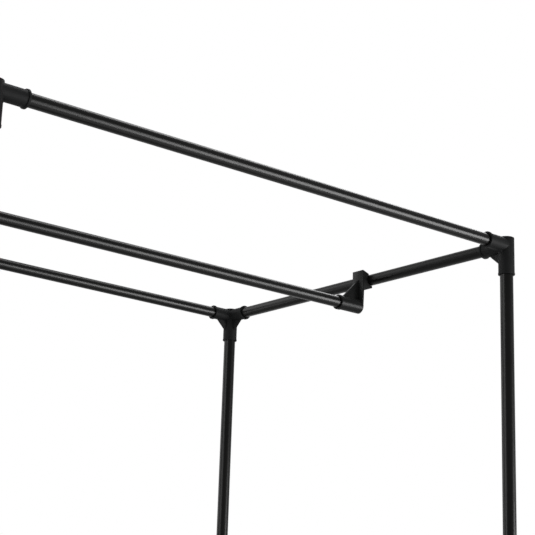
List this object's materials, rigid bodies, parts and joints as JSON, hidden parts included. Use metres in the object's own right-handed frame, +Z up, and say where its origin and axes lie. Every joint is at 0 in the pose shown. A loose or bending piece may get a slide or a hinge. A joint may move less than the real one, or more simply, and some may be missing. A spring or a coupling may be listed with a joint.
{
  "type": "portable wardrobe",
  "caption": "Free-standing plug-together wardrobe frame of thin black tubes in moulded corner connectors, with a sliding hanging rod and sewn cloth shelves, without its cover.",
  "frame": {"origin": "on the floor, under the middle of the frame", "axes": "+Z up along the uprights, +X to the right and +Y to the back as seen from the open front"},
  "size_m": [0.6, 0.45, 1.55],
  "materials": {
    "coated_steel": "gloss black coating",
    "moulded_plastic": "satin black",
    "shelf_cloth": "non-woven cloth, matte charcoal"
  },
  "bodies": {
    "frame": {"connector_top_front_left": "moulded_plastic", "connector_top_front_right": "moulded_plastic", "connector_top_back_left": "moulded_plastic", "connector_top_back_right": "moulded_plastic", "connector_shelf_front_left": "moulded_plastic", "connector_shelf_front_right": "moulded_plastic", "connector_shelf_back_left": "moulded_plastic", "connector_shelf_back_right": "moulded_plastic", "connector_base_front_left": "moulded_plastic", "connector_base_front_right": "moulded_plastic", "connector_base_back_left": "moulded_plastic", "connector_base_back_right": "moulded_plastic", "coupler_front_left": "moulded_plastic", "coupler_front_right": "moulded_plastic", "coupler_back_left": "moulded_plastic", "coupler_back_right": "moulded_plastic", "upright_lower_front_left": "coated_steel", "upright_lower_front_right": "coated_steel", "upright_lower_back_left": "coated_steel", "upright_lower_back_right": "coated_steel", "upright_middle_front_left": "coated_steel", "upright_middle_front_right": "coated_steel", "upright_middle_back_left": "coated_steel", "upright_middle_back_right": "coated_steel", "upright_upper_front_left": "coated_steel", "upright_upper_front_right": "coated_steel", "upright_upper_back_left": "coated_steel", "upright_upper_back_right": "coated_steel", "rail_top_front": "coated_steel", "rail_top_back": "coated_steel", "rail_top_left": "coated_steel", "rail_top_right": "coated_steel", "rail_shelf_front": "coated_steel", "rail_shelf_back": "coated_steel", "rail_shelf_left": "coated_steel", "rail_shelf_right": "coated_steel", "rail_base_front": "coated_steel", "rail_base_back": "coated_steel", "rail_base_left": "coated_steel", "rail_base_right": "coated_steel", "cloth_shelf_middle": "shelf_cloth", "cloth_shelf_base": "shelf_cloth"},
    "hanging_rail": {"hanging_rod": "coated_steel", "rod_clip_left": "moulded_plastic", "rod_clip_right": "moulded_plastic"}
  },
  "joints": [
    {"name": "rod_slide", "type": "slide", "parent": "frame", "child": "hanging_rail", "axis": [0, 1, 0], "range_m": [-0.16, 0.196]}
  ]
}
